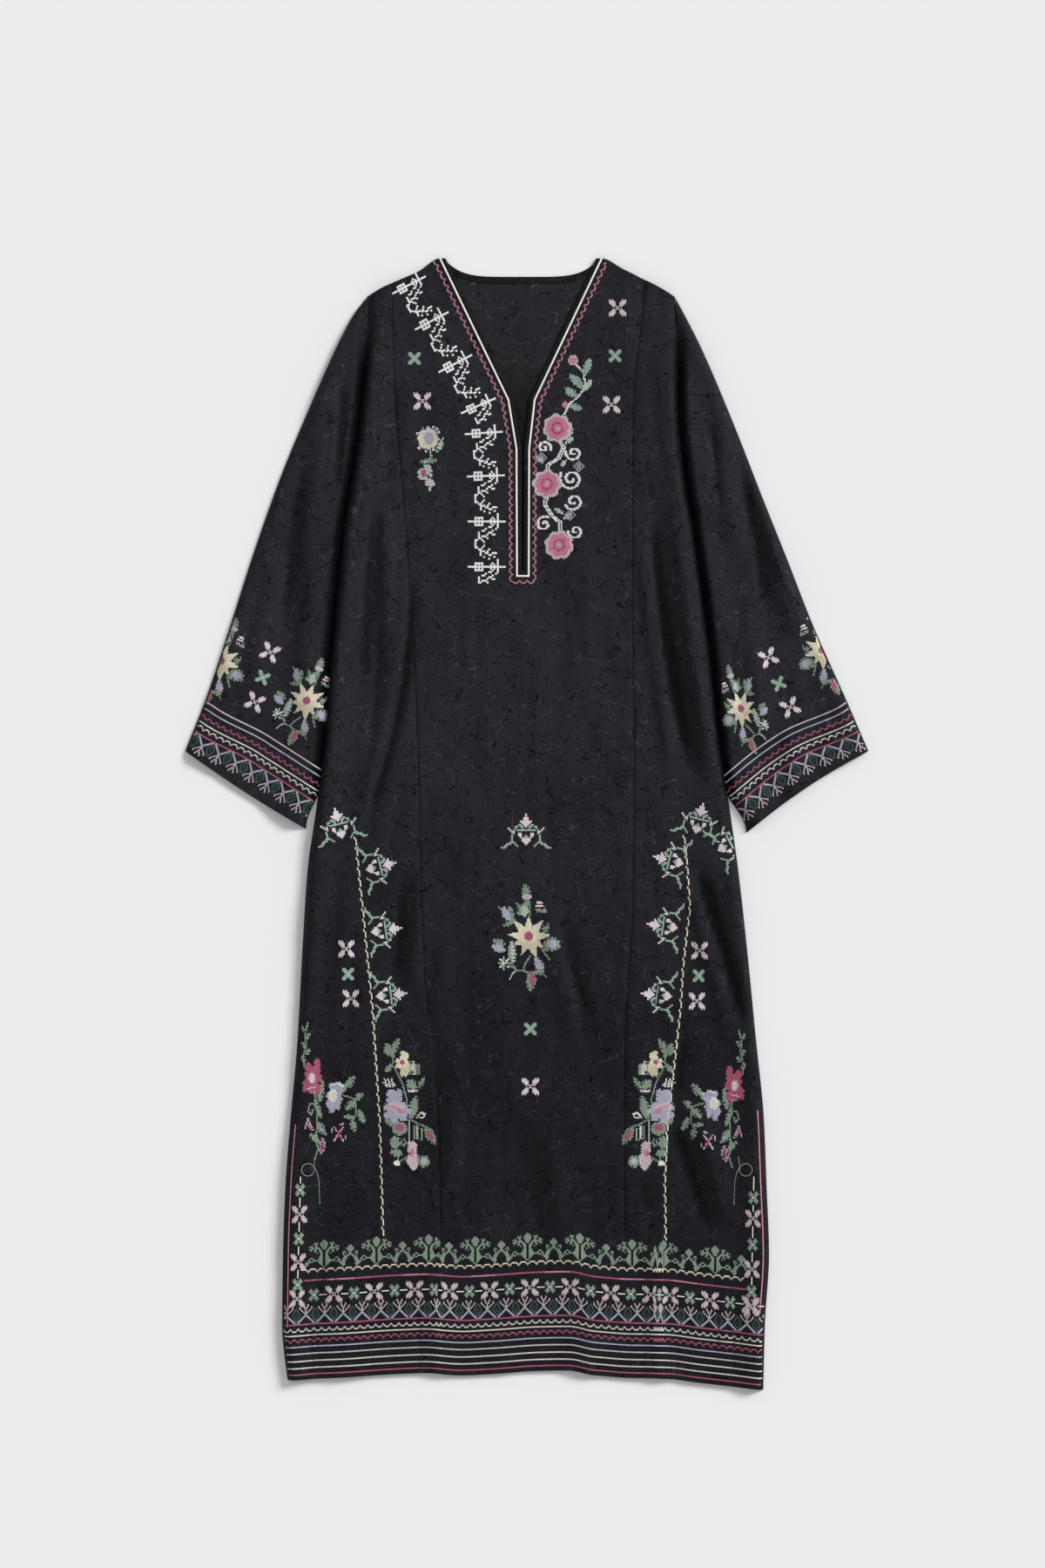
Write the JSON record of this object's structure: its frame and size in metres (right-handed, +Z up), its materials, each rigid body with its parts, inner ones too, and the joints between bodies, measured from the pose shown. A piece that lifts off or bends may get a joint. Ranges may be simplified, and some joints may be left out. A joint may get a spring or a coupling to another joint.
{
  "type": "embroidered kaftan",
  "caption": "Long kaftan with flared sleeves, a V neck and a chest slit, cut in princess panels and laid flat on its back.",
  "frame": {"origin": "under the middle of the whole garment, on the surface that it lies on", "axes": "+Y along the garment towards the neck, +X across it towards the sleeve on the right of the picture, +Z up from the surface"},
  "size_m": [0.8232, 1.363, 0.0134],
  "materials": {
    "cloth": "woven, charcoal black, soft sheen",
    "binding": "woven on the bias, black",
    "cord": "couched cream cord",
    "thread": "cotton embroidery thread"
  },
  "bodies": {
    "root": {"back_panel": "cloth", "back_neck_binding": "binding", "front_centre": "cloth", "front_side_left": "cloth", "front_side_right": "cloth", "sleeve_left": "cloth", "sleeve_right": "cloth", "neck_binding": "binding", "neck_cord": "cord"}
  },
  "joints": []
}
